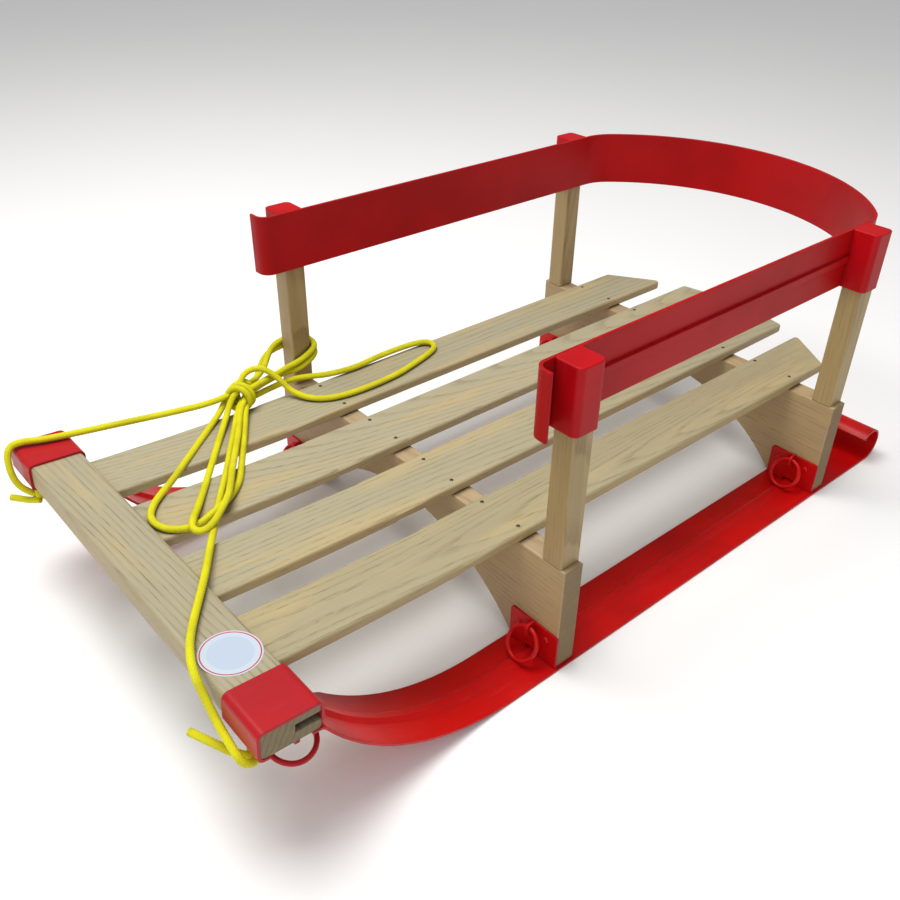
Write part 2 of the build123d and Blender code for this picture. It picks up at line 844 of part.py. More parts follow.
def main():
    """Builds the sled, centres it and writes one file for each node."""
    os.makedirs("parts", exist_ok=True)
    pieces = make_pieces()
    rope = make_rope()
    boxes = [p.bounding_box() for p in pieces.values()]
    low = [min(getattr(b.min, k) for b in boxes) for k in "XYZ"]
    high = [max(getattr(b.max, k) for b in boxes) for k in "XYZ"]
    shift = Pos(-(low[0] + high[0]) / 2, -(low[1] + high[1]) / 2, -low[2])
    print("size", [round(b - a, 2) for a, b in zip(low, high)])
    print("shift", tuple(shift.position))
    for name, piece in {**pieces, **rope}.items():
        piece = shift * piece
        solids = piece.solids()
        if len(solids) != 1:
            print("NOTE", name, "has", len(solids), "solids")
        piece.label = name
        export_step(piece, f"parts/{name}.step")


main()
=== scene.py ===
"""The looks of a child's wooden sled: ash deck, red steel runners, red plastic rail, yellow rope."""

import logging
import math
from dataclasses import dataclass, field
from enum import Enum

import bmesh
import bpy
import numpy as np
from mathutils import Matrix, Vector


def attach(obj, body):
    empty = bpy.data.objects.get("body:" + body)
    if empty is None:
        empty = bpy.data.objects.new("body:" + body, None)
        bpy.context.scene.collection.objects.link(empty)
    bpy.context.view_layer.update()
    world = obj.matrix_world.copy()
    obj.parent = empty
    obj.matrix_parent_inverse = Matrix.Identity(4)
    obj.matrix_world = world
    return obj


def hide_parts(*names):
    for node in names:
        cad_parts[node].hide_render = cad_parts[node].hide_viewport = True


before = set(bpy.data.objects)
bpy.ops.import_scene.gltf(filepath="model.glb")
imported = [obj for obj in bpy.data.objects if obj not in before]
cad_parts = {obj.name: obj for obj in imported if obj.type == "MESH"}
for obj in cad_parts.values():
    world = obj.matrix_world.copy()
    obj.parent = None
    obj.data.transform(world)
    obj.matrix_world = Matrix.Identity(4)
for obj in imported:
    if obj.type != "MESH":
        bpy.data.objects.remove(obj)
log = logging.getLogger("sled")

MM = 0.001
SHIFT_X = 114.534  # the sled's middle is this far in front of the front bunk's front face, in mm
BODY = "root"
FAR = 10.0  # beyond anything on the sled, in metres

Point = tuple[float, float, float]
Colour = tuple[int, int, int]
Feed = "bpy.types.NodeSocket | bpy.types.Node | float | tuple | None"


def place(points: list[Point]) -> list[Vector]:
    """Points measured in mm from the front bunk's front face, as points of the frame in metres."""
    return [Vector(((x + SHIFT_X) * MM, y * MM, z * MM)) for x, y, z in points]


def srgb(red: float, green: float, blue: float) -> tuple[float, float, float, float]:
    """A colour given in display values from 0 to 255, as linear values for a socket."""

    def linear(value: float) -> float:
        value /= 255
        return value / 12.92 if value <= 0.04045 else ((value + 0.055) / 1.055) ** 2.4

    return linear(red), linear(green), linear(blue), 1.0


# Node wiring
@dataclass
class Wiring:
    """Adds nodes to one tree and links them."""

    tree: bpy.types.NodeTree

    def add(self, kind: str, *inputs: Feed, **settings: object) -> bpy.types.Node:
        """Adds a node.

        Args:
            kind: the node's type without its ShaderNode prefix.
            inputs: what feeds its inputs in order; None leaves an input alone.
            settings: the node's own properties.

        Returns:
            The new node.
        """
        node = self.tree.nodes.new("ShaderNode" + kind)
        for key, value in settings.items():
            setattr(node, key, value)
        for index, value in enumerate(inputs):
            self.feed(node.inputs[index], value)
        return node

    def feed(self, socket: bpy.types.NodeSocket, value: Feed) -> None:
        """Links a socket or a node's first output to a socket, or sets its own value."""
        if value is None:
            return
        if isinstance(value, bpy.types.Node):
            value = value.outputs[0]
        if isinstance(value, bpy.types.NodeSocket):
            self.tree.links.new(value, socket)
        else:
            socket.default_value = value

    def math(self, operation: str, *inputs: Feed, clamp: bool = False) -> bpy.types.NodeSocket:
        """A number worked out from others."""
        return self.add("Math", *inputs, operation=operation, use_clamp=clamp).outputs[0]

    def scaled(self, vector: Feed, factors: Point) -> bpy.types.NodeSocket:
        """A vector times a factor for each axis."""
        return self.add("VectorMath", vector, factors, operation="MULTIPLY").outputs[0]

    def noise(
        self, vector: Feed, scale: float, detail: float = 2.0, rough: float = 0.5,
    ) -> bpy.types.NodeSocket:
        """Smooth noise from 0 to 1, most of it near one half."""
        node = self.add("TexNoise", vector)
        for name, value in (("Scale", scale), ("Detail", detail), ("Roughness", rough)):
            node.inputs[name].default_value = value
        return node.outputs[0]

    def between(
        self, value: Feed, low: float, high: float, start: float = 0.0, end: float = 1.0,
    ) -> bpy.types.NodeSocket:
        """A value run smoothly from start to end as it goes from low to high."""
        node = self.add("MapRange", value, low, high, start, end, interpolation_type="SMOOTHSTEP")
        return node.outputs[0]

    def mixed(self, share: Feed, first: Feed, second: Feed, how: str = "MIX") -> bpy.types.NodeSocket:
        """Two colours mixed by a share."""
        node = self.add("Mix", data_type="RGBA", blend_type=how)
        for index, value in ((0, share), (6, first), (7, second)):
            self.feed(node.inputs[index], value)
        return node.outputs[2]

    def group(self, tree: bpy.types.NodeTree, **inputs: Feed) -> bpy.types.Node:
        """Places a shared group; an input's name has its spaces as underscores."""
        node = self.tree.nodes.new("ShaderNodeGroup")
        node.node_tree = tree
        for name, value in inputs.items():
            self.feed(node.inputs[name.replace("_", " ")], value)
        return node


@dataclass
class Effect:
    """A shared node group: its sockets and the wiring inside it."""

    name: str
    inputs: dict[str, tuple[str, object]]
    outputs: dict[str, str]
    wiring: Wiring = field(init=False)
    given: bpy.types.Node = field(init=False)
    result: bpy.types.Node = field(init=False)

    def __post_init__(self) -> None:
        """Makes the group's tree with its sockets."""
        tree = bpy.data.node_groups.new(self.name, "ShaderNodeTree")
        for name, (kind, value) in self.inputs.items():
            socket = tree.interface.new_socket(name, in_out="INPUT", socket_type="NodeSocket" + kind)
            if value is not None:
                socket.default_value = value
        for name, kind in self.outputs.items():
            tree.interface.new_socket(name, in_out="OUTPUT", socket_type="NodeSocket" + kind)
        self.wiring = Wiring(tree)
        self.given = tree.nodes.new("NodeGroupInput")
        self.result = tree.nodes.new("NodeGroupOutput")

    def of(self, name: str) -> bpy.types.NodeSocket:
        """One of the group's inputs, as seen from inside."""
        return self.given.outputs[name]

    def gives(self, **values: Feed) -> bpy.types.NodeTree:
        """Feeds the group's outputs and returns its tree."""
        for name, value in values.items():
            self.wiring.feed(self.result.inputs[name], value)
        return self.wiring.tree


# Shared effects
def ash_grain() -> bpy.types.NodeTree:
    """Growth rings, pores and fibres of ash, for coordinates whose x runs along the grain."""
    effect = Effect(
        "Ash grain",
        {
            "Vector": ("Vector", None), "Ring": ("Float", 0.005), "Drift": ("Vector", (0.0, 0.0, 0.0)),
            "Light": ("Color", srgb(205, 190, 150)), "Dark": ("Color", srgb(150, 120, 80)),
            "Pore": ("Color", srgb(96, 74, 42)), "Gold": ("Color", srgb(196, 172, 118)),
            "Figure": ("Float", 0.5), "End": ("Float", 0.0), "Sawn": ("Float", 0.0),
        },
        {"Color": "Color", "Roughness": "Float", "Height": "Float"},
    )
    w, point = effect.wiring, effect.of("Vector")
    sweep = w.math("SUBTRACT", w.noise(w.scaled(point, (2.6, 9.0, 9.0)), 1.0, 2.0), 0.5)
    wave = w.math("SUBTRACT", w.noise(w.scaled(point, (9.0, 60.0, 60.0)), 1.0, 2.0), 0.5)
    axes = w.add("SeparateXYZ", point).outputs
    drift = w.add("SeparateXYZ", effect.of("Drift")).outputs
    across = w.math("MULTIPLY_ADD", axes[0], drift[1], axes[1])
    across = w.math("ADD", across, w.math("MULTIPLY", sweep, 0.016))
    down = w.math("MULTIPLY_ADD", axes[0], drift[2], axes[2])
    radius = w.math("SQRT", w.math("MULTIPLY_ADD", across, across, w.math("MULTIPLY", down, down)))
    rings = w.math("ADD", w.math("DIVIDE", radius, effect.of("Ring")), w.math("MULTIPLY", wave, 0.55))
    year = w.math("FRACT", rings)
    early = w.math("ADD", w.between(year, 0.0, 0.42, 1.0, 0.0), w.between(year, 0.93, 1.0), clamp=True)
    age = w.noise(w.add("CombineXYZ", w.math("FLOOR", rings)), 3.7, 0.0)
    streak = w.noise(w.scaled(point, (11.0, 420.0, 420.0)), 1.0, 3.0, 0.6)
    fine = w.noise(w.scaled(point, (38.0, 1700.0, 1700.0)), 1.0, 2.0, 0.6)
    broad = w.noise(w.scaled(point, (2.0, 14.0, 14.0)), 1.0, 2.0)
    pores = w.math("MULTIPLY", w.between(fine, 0.52, 0.66), w.math("MULTIPLY_ADD", early, 0.85, 0.15))
    band = w.math("MULTIPLY", early, w.math("MULTIPLY_ADD", age, 1.1, 0.1))
    depth = w.math("MULTIPLY", band, effect.of("Figure"))
    depth = w.math("MULTIPLY", depth, w.math("MULTIPLY_ADD", streak, 1.2, 0.35))
    depth = w.math("ADD", depth, w.math("MULTIPLY", w.math("SUBTRACT", streak, 0.5), 0.45))
    depth = w.math("ADD", depth, w.math("MULTIPLY", w.math("SUBTRACT", broad, 0.5), 0.6))
    depth = w.math("ADD", depth, w.math("MULTIPLY_ADD", effect.of("End"), 0.35, 0.16), clamp=True)
    colour = w.mixed(depth, effect.of("Light"), effect.of("Dark"))
    stain = w.noise(w.scaled(point, (5.0, 38.0, 38.0)), 1.0, 3.0, 0.6)
    gold = w.between(stain, 0.46, 0.68, 0.0, 0.5)
    # Painted shade: the board's sides are pushed towards the warm gold and the dark early-wood colour.
    gold = w.math("ADD", gold, w.math("MULTIPLY", effect.of("Sawn"), 0.6), clamp=True)
    colour = w.mixed(gold, colour, effect.of("Gold"))
    colour = w.mixed(w.math("MULTIPLY", effect.of("Sawn"), 0.35), colour, effect.of("Dark"))
    colour = w.mixed(w.math("MULTIPLY", pores, 0.26), colour, effect.of("Pore"))
    colour = w.mixed(w.math("MULTIPLY", effect.of("End"), 0.5), colour, effect.of("Pore"))
    rough = w.math("MULTIPLY_ADD", effect.of("End"), 0.2, w.math("MULTIPLY_ADD", streak, 0.16, 0.42))
    height = w.math("SUBTRACT", w.math("MULTIPLY", streak, 0.35), w.math("MULTIPLY", pores, 0.8))
    return effect.gives(Color=colour, Roughness=rough, Height=height)


def edge_find() -> bpy.types.NodeTree:
    """A mask that is 1 on the outer edges of a piece, broken up as handling wears it; on plastic it also
    places a painted edge highlight.
    """
    effect = Effect(
        "Edge wear and highlight",
        {"Vector": ("Vector", None), "Breakup": ("Float", 120.0)},
        {"Mask": "Float", "Normal": "Vector"},
    )
    w = effect.wiring
    soft = w.add("Bevel", 0.0009, samples=4)
    face = w.add("NewGeometry").outputs["Normal"]
    turn = w.add("VectorMath", soft.outputs[0], face, operation="DOT_PRODUCT").outputs["Value"]
    edge = w.between(turn, 0.99, 0.86)
    node = w.add("TexNoise", effect.of("Vector"))
    w.feed(node.inputs["Scale"], effect.of("Breakup"))
    node.inputs["Detail"].default_value = 3.0
    patchy = w.math("MULTIPLY", edge, w.between(node.outputs[0], 0.42, 0.62))
    return effect.gives(Mask=patchy, Normal=soft.outputs[0])


def paint_skin() -> bpy.types.NodeTree:
    """Cloudy tone, fine orange peel, specks and rubbed streaks of a sprayed or moulded red skin."""
    effect = Effect(
        "Red skin",
        {
            "Vector": ("Vector", None), "Base": ("Color", srgb(190, 20, 20)),
            "Deep": ("Color", srgb(120, 10, 12)), "Rubbed": ("Color", srgb(225, 90, 80)),
            "Peel": ("Float", 700.0), "Rubbing": ("Float", 0.3),
            "Sheen": ("Float", 0.3), "Lines": ("Vector", (1.0, 1.0, 1.0)),
        },
        {"Color": "Color", "Roughness": "Float", "Height": "Float"},
    )
    w, point = effect.wiring, effect.of("Vector")
    cloud = w.noise(point, 16.0, 3.0)
    peel = w.add("TexNoise", point)
    w.feed(peel.inputs["Scale"], effect.of("Peel"))
    peel.inputs["Detail"].default_value = 1.0
    lined = w.add("VectorMath", point, effect.of("Lines"), operation="MULTIPLY")
    scratch = w.noise(lined, 1.0, 3.0, 0.6)
    specks = w.between(w.noise(point, 900.0, 1.0), 0.7, 0.76)
    rubbed = w.math("MULTIPLY", w.between(scratch, 0.56, 0.74), effect.of("Rubbing"))
    colour = w.mixed(w.between(cloud, 0.38, 0.66, 0.0, 0.45), effect.of("Base"), effect.of("Deep"))
    colour = w.mixed(w.math("MULTIPLY", rubbed, 0.45), colour, effect.of("Rubbed"))
    colour = w.mixed(w.math("MULTIPLY", specks, 0.35), colour, effect.of("Deep"))
    rough = w.math("MULTIPLY_ADD", rubbed, 0.25, w.math("MULTIPLY_ADD", cloud, 0.14, effect.of("Sheen")))
    height = w.math("ADD", w.math("MULTIPLY", peel.outputs[0], 0.5), w.math("MULTIPLY", scratch, -0.35))
    return effect.gives(Color=colour, Roughness=rough, Height=height)


def paint_corner_shade() -> bpy.types.NodeTree:
    """Painted shade in corners: a share, from ambient occlusion broken up by noise, of a dark colour to
    mix in.
    """
    effect = Effect(
        "Painted corner shade",
        {"Vector": ("Vector", None), "Reach": ("Float", 0.02)},
        {"Mask": "Float"},
    )
    w = effect.wiring
    hollow = w.add("AmbientOcclusion", samples=6)
    w.feed(hollow.inputs["Distance"], effect.of("Reach"))
    # Painted shade: the share grows where ambient occlusion finds the surface closed in.
    closed = w.between(hollow.outputs["AO"], 0.75, 0.15)
    patchy = w.noise(effect.of("Vector"), 60.0, 3.0)
    share = w.math("MULTIPLY_ADD", patchy, 0.8, 0.5)
    return effect.gives(Mask=w.math("MULTIPLY", closed, share, clamp=True))


@dataclass
class Effects:
    """The node groups that the finishes share."""

    grain: bpy.types.NodeTree = field(default_factory=ash_grain)
    edge: bpy.types.NodeTree = field(default_factory=edge_find)
    skin: bpy.types.NodeTree = field(default_factory=paint_skin)
    corner_shade: bpy.types.NodeTree = field(default_factory=paint_corner_shade)


def surface(name: str, **constants: object) -> tuple[Wiring, bpy.types.Node]:
    """A new material with its shader, whose constant values stand on the shader's own sockets."""
    material = bpy.data.materials.new(name)
    material.use_nodes = True
    shader = material.node_tree.nodes["Principled BSDF"]
    for key, value in constants.items():
        shader.inputs[key.replace("_", " ")].default_value = value
    return Wiring(material.node_tree), shader


def material_of(w: Wiring) -> bpy.types.Material:
    """The material that a wiring belongs to."""
    return next(m for m in bpy.data.materials if m.node_tree == w.tree)


def bumped(w: Wiring, shader: bpy.types.Node, height: Feed, depth: float, normal: Feed = None) -> None:
    """Feeds the shader's normal from a height that stands depth metres proud at 1."""
    bump = w.add("Bump")
    bump.inputs["Strength"].default_value = 1.0
    bump.inputs["Distance"].default_value = depth
    w.feed(bump.inputs["Height"], height)
    w.feed(bump.inputs["Normal"], normal)
    w.feed(shader.inputs["Normal"], bump)


# Finishes
class Grain(Enum):
    """The way a board's grain runs, as the order in which its axes are read."""

    LENGTHWISE = (0, 1, 2)
    CROSSWISE = (1, 0, 2)
    UPRIGHT = (2, 0, 1)


@dataclass(frozen=True)
class AshFinish:
    """Planed ash under one thin clear coat, cut from its own place in the log.

    Args:
        name: the material's name.
        run: the way the grain runs.
        heart: from the sled's middle to the heart of the log, in metres.
        drift: how far the heart wanders sideways for each metre along the grain.
        ring: the width of a growth ring, in metres.
        figure: how strongly the rings show.
        light: the late wood's colour.
        dark: the early wood's colour.
        gold: the colour of warm patches, and of the painted shade on the board's sides.
        relief: how far the grain stands proud, in metres.
    """

    name: str
    run: Grain
    heart: Point
    drift: Point
    ring: float
    figure: float
    light: Colour
    dark: Colour
    gold: Colour = (188, 165, 116)
    relief: float = 0.22 * MM

    def material(self, effects: Effects) -> bpy.types.Material:
        """Builds the finish."""
        w, shader = surface(self.name, Coat_Roughness=0.32, Specular_IOR_Level=0.35)
        spot = w.add("TexCoord").outputs
        axes = w.add("SeparateXYZ", spot["Object"]).outputs
        order = self.run.value
        board = w.add("CombineXYZ", *(axes[i] for i in order))
        board = w.add("VectorMath", board, self.heart, operation="ADD")
        facing = w.add("SeparateXYZ", spot["Normal"]).outputs
        end = w.between(w.math("ABSOLUTE", facing[order[0]]), 0.55, 0.9)
        # Painted shade: faces whose normal runs across the board, its sides, are made darker and warmer.
        side_shade = w.between(w.math("ABSOLUTE", facing[order[1]]), 0.55, 0.9)
        grain = w.group(
            effects.grain, Vector=board, Ring=self.ring, Drift=self.drift, Light=srgb(*self.light),
            Dark=srgb(*self.dark), Gold=srgb(*self.gold), Figure=self.figure, End=end, Sawn=side_shade,
        ).outputs
        edge = w.group(effects.edge, Vector=board, Breakup=90.0).outputs
        corner_shade = w.group(effects.corner_shade, Vector=board, Reach=0.012).outputs[0]
        colour = w.mixed(w.math("MULTIPLY", edge["Mask"], 0.45), grain["Color"], srgb(118, 88, 48))
        # Painted shade: darker brown where ambient occlusion finds corners and gaps.
        colour = w.mixed(w.math("MULTIPLY", corner_shade, 0.75), colour, srgb(46, 32, 16))
        w.feed(shader.inputs["Base Color"], colour)
        w.feed(shader.inputs["Roughness"], grain["Roughness"])
        w.feed(shader.inputs["Coat Weight"], w.math("MULTIPLY_ADD", end, -0.1, 0.12))
        bumped(w, shader, grain["Height"], self.relief, edge["Normal"])
        return material_of(w)


@dataclass(frozen=True)
class RedFinish:
    """A red skin: sprayed enamel on steel, or moulded plastic.

    Args:
        name: the material's name.
        base: the main colour.
        deep: the colour of darker clouds and specks.
        rubbed: the colour of rubbed streaks.
        sheen: the skin's least roughness.
        peel: how fine the orange peel is, as a noise scale.
        depth: how far the peel stands proud, in metres.
        rubbing: how much of the skin is rubbed.
        lines: how close the streaks lie along each axis.
        coat: the weight of the clear coat.
        chips: whether the edges are dark, as chipped enamel is; if not, they get a pale painted
            highlight.
        handled: forward of this x, in metres, the skin is dulled by handling.
        gloss: the level of the plain mirror light.
    """

    name: str
    base: Colour
    deep: Colour
    rubbed: Colour
    sheen: float
    peel: float
    depth: float
    rubbing: float
    lines: Point
    coat: float
    chips: bool
    handled: float = FAR
    gloss: float = 0.14

    def material(self, effects: Effects) -> bpy.types.Material:
        """Builds the finish."""
        w, shader = surface(self.name, Coat_Roughness=0.2, Specular_IOR_Level=self.gloss)
        spot = w.add("TexCoord").outputs["Object"]
        skin = w.group(
            effects.skin, Vector=spot, Base=srgb(*self.base), Deep=srgb(*self.deep),
            Rubbed=srgb(*self.rubbed), Peel=self.peel, Rubbing=self.rubbing, Sheen=self.sheen,
            Lines=self.lines,
        ).outputs
        edge = w.group(effects.edge, Vector=spot, Breakup=170.0).outputs
        corner_shade = w.group(effects.corner_shade, Vector=spot, Reach=0.01).outputs[0]
        # Edges: on enamel, dark chips of real wear; on plastic, a pale painted highlight.
        edge_wear_and_highlight_colour = srgb(96, 22, 20) if self.chips else srgb(226, 92, 96)
        edge_wear_and_highlight = w.math("MULTIPLY", edge["Mask"], 0.4 if self.chips else 0.3)
        colour = w.mixed(edge_wear_and_highlight, skin["Color"], edge_wear_and_highlight_colour)
        far = w.add("SeparateXYZ", spot).outputs[0]
        dulled = w.between(far, self.handled - 2 * MM, self.handled + 2 * MM, 0.0, 0.55)
        colour = w.mixed(dulled, colour, srgb(150, 34, 44))
        # Painted shade: darker red where ambient occlusion finds corners and gaps.
        colour = w.mixed(w.math("MULTIPLY", corner_shade, 0.45), colour, srgb(48, 8, 8))
        w.feed(shader.inputs["Base Color"], colour)
        w.feed(shader.inputs["Roughness"], w.math("MULTIPLY_ADD", edge["Mask"], 0.2, skin["Roughness"]))
        w.feed(shader.inputs["Coat Weight"], w.math("MULTIPLY_ADD", edge["Mask"], -self.coat, self.coat))
        bumped(w, shader, skin["Height"], self.depth, edge["Normal"])
        return material_of(w)


@dataclass(frozen=True)
class RopeFinish:
    """Braided yellow polypropylene: bright yarns, with the gaps between them in shade."""

    name: str = "Yellow braid"

    def material(self, effects: Effects) -> bpy.types.Material:
        """Builds the finish."""
        w, shader = surface(self.name, Specular_IOR_Level=0.35)
        shader.inputs["Subsurface Weight"].default_value = 0.08
        shader.inputs["Subsurface Radius"].default_value = (0.002, 0.0016, 0.0004)
        lay = w.add("SeparateXYZ", w.add("UVMap", uv_map="lay").outputs[0]).outputs
        proud = w.add("Attribute", attribute_name="proud").outputs["Fac"]
        on_top = w.math("MODULO", w.math("ADD", w.math("FLOOR", lay[0]), w.math("FLOOR", lay[1])), 2.0)
        yarn = w.add("Mix", on_top, data_type="FLOAT")
        w.feed(yarn.inputs[2], lay[0])
        w.feed(yarn.inputs[3], lay[1])
        fibre = w.math("SINE", w.math("MULTIPLY", yarn.outputs[0], 2 * math.pi * 5))
        spot = w.add("TexCoord").outputs["Object"]
        cloud = w.noise(spot, 45.0, 3.0)
        colour = w.mixed(w.between(cloud, 0.35, 0.7), srgb(236, 231, 4), srgb(218, 210, 3))
        # Painted shade: darker yellow in the gaps between the yarns.
        colour = w.mixed(w.between(proud, 0.5, 0.0, 0.0, 0.75), colour, srgb(140, 128, 2))
        colour = w.mixed(w.math("MULTIPLY_ADD", fibre, 0.08, 0.08), colour, srgb(196, 184, 6))
        corner_shade = w.group(effects.corner_shade, Vector=spot, Reach=0.006).outputs[0]
        # Painted shade: darker yellow where ambient occlusion finds tight places.
        colour = w.mixed(w.math("MULTIPLY", corner_shade, 0.35), colour, srgb(120, 104, 6))
        w.feed(shader.inputs["Base Color"], colour)
        w.feed(shader.inputs["Roughness"], w.math("MULTIPLY_ADD", cloud, 0.15, 0.36))
        bumped(w, shader, fibre, 0.00006)
        return material_of(w)


@dataclass(frozen=True)
class NailFinish:
    """Bare bright steel, dulled by handling."""

    name: str = "Nail steel"
    colour: Colour = (120, 112, 98)

    def material(self, effects: Effects) -> bpy.types.Material:
        """Builds the finish."""
        w, shader = surface(self.name, Metallic=0.9)
        spot = w.add("TexCoord").outputs["Object"]
        tarnish = w.noise(spot, 700.0, 3.0)
        w.feed(shader.inputs["Base Color"], w.mixed(tarnish, srgb(*self.colour), srgb(70, 60, 48)))
        w.feed(shader.inputs["Roughness"], w.math("MULTIPLY_ADD", tarnish, 0.3, 0.25))
        bumped(w, shader, tarnish, 0.0001)
        return material_of(w)


@dataclass(frozen=True)
class LabelFinish:
    """A round white vinyl sticker with a pale disc inside its rim and no print."""

    centre: Point
    radius: float
    name: str = "Blank sticker"

    def material(self, effects: Effects) -> bpy.types.Material:
        """Builds the finish."""
        w, shader = surface(self.name, Coat_Roughness=0.2, Coat_Weight=0.3)
        spot = w.add("TexCoord").outputs["Object"]
        away = w.add("VectorMath", spot, self.centre, operation="DISTANCE").outputs["Value"]
        share = w.math("DIVIDE", away, self.radius)
        inner = w.between(share, 0.74, 0.72)
        line = w.math("MULTIPLY", w.between(share, 0.905, 0.915), w.between(share, 0.955, 0.945))
        scuff = w.noise(spot, 260.0, 4.0, 0.6)
        colour = w.mixed(inner, srgb(188, 198, 212), srgb(176, 190, 208))
        colour = w.mixed(line, colour, srgb(184, 30, 36))
        colour = w.mixed(w.between(scuff, 0.56, 0.75, 0.0, 0.25), colour, srgb(180, 170, 150))
        w.feed(shader.inputs["Base Color"], colour)
        w.feed(shader.inputs["Roughness"], w.math("MULTIPLY_ADD", scuff, 0.3, 0.2))
        bumped(w, shader, scuff, 0.00005)
        return material_of(w)


@dataclass(frozen=True)
class FloorFinish:
    """A plain pale studio floor."""

    name: str = "Pale floor"

    def material(self, effects: Effects) -> bpy.types.Material:
        """Builds the finish."""
        w, shader = surface(self.name, Specular_IOR_Level=0.2)
        cloud = w.noise(w.add("TexCoord").outputs["Object"], 1.5, 3.0)
        w.feed(shader.inputs["Base Color"], w.mixed(cloud, srgb(246, 246, 246), srgb(240, 240, 241)))
        w.feed(shader.inputs["Roughness"], w.math("MULTIPLY_ADD", cloud, 0.1, 0.7))
        return material_of(w)


# Mesh helpers
def finished(
    bm: bmesh.types.BMesh, name: str, material: bpy.types.Material, smooth: bool = True,
) -> bpy.types.Object:
    """Turns a bmesh into an object of the scene, at the origin and riding on the sled."""
    bmesh.ops.recalc_face_normals(bm, faces=bm.faces)
    for face in bm.faces:
        face.smooth = smooth
    mesh = bpy.data.meshes.new(name)
    bm.to_mesh(mesh)
    bm.free()
    mesh.materials.append(material)
    piece = bpy.data.objects.new(name, mesh)
    bpy.context.scene.collection.objects.link(piece)
    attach(piece, BODY)
    return piece


def aim(direction: Vector) -> Matrix:
    """A turn that brings the z axis onto a direction."""
    return direction.to_track_quat("Z", "Y").to_matrix().to_4x4()


